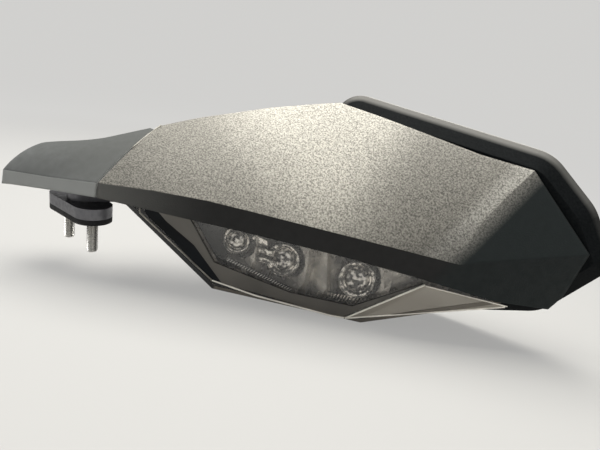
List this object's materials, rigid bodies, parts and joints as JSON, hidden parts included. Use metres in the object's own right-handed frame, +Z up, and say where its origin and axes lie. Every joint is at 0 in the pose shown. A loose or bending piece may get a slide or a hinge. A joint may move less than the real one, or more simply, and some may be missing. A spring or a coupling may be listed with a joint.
{
  "type": "motorcycle rear-view mirror with built-in turn signal",
  "caption": "Left-hand fairing mirror of a motorcycle: faceted housing with a turn signal under its edge, adjustable glass in a flared rim and a folding arm on a studded foot.",
  "frame": {"origin": "middle between the two studs, on the underside of the rubber pad", "axes": "+X outward from the motorcycle (to its left), +Y to the rear, where the glass faces, +Z up"},
  "size_m": [0.2664, 0.181, 0.1177],
  "materials": {
    "grained_black": "coarse grained matte",
    "smooth_dark_grey": "smooth matte",
    "satin_black": "satin",
    "gloss_black": "gloss",
    "clear": "clear gloss",
    "metallised": "bright",
    "lamp_clear": "clear gloss",
    "die_cast": "satin",
    "steel": "zinc plated",
    "rubber": "matte",
    "mirror": "mirror"
  },
  "bodies": {
    "arm": {"mount_foot": "die_cast", "foot_pad": "rubber", "stud_inner": "steel", "stud_outer": "steel", "wire_grommet": "rubber", "arm_cover": "smooth_dark_grey", "arm_panel": "satin_black", "hinge_pin": "steel"},
    "housing": {"housing_cover": "grained_black", "housing_panel": "satin_black", "rim": "satin_black", "lower_shell": "gloss_black", "signal_lens": "clear", "lens_trim": "gloss_black", "reflector": "metallised", "lamp_1": "lamp_clear", "lamp_2": "lamp_clear", "lamp_3": "lamp_clear", "stay": "die_cast"},
    "pivot": {"ball_liner": "satin_black"},
    "glass": {"glass_holder": "satin_black", "mirror_glass": "mirror"}
  },
  "joints": [
    {"name": "fold", "type": "hinge", "parent": "arm", "child": "housing", "pos_m": [0.017, 0.033, 0.0225], "axis": [0, 0, 1], "range_deg": [0, 60]},
    {"name": "glass_pan", "type": "hinge", "parent": "housing", "child": "pivot", "pos_m": [0.15164, 0.11513, 0.022], "axis": [0, 0, 1], "range_deg": [-6, 6]},
    {"name": "glass_tilt", "type": "hinge", "parent": "pivot", "child": "glass", "pos_m": [0.15164, 0.11513, 0.022], "axis": [0.9781, 0.2079, 0], "range_deg": [-6, 6]}
  ]
}
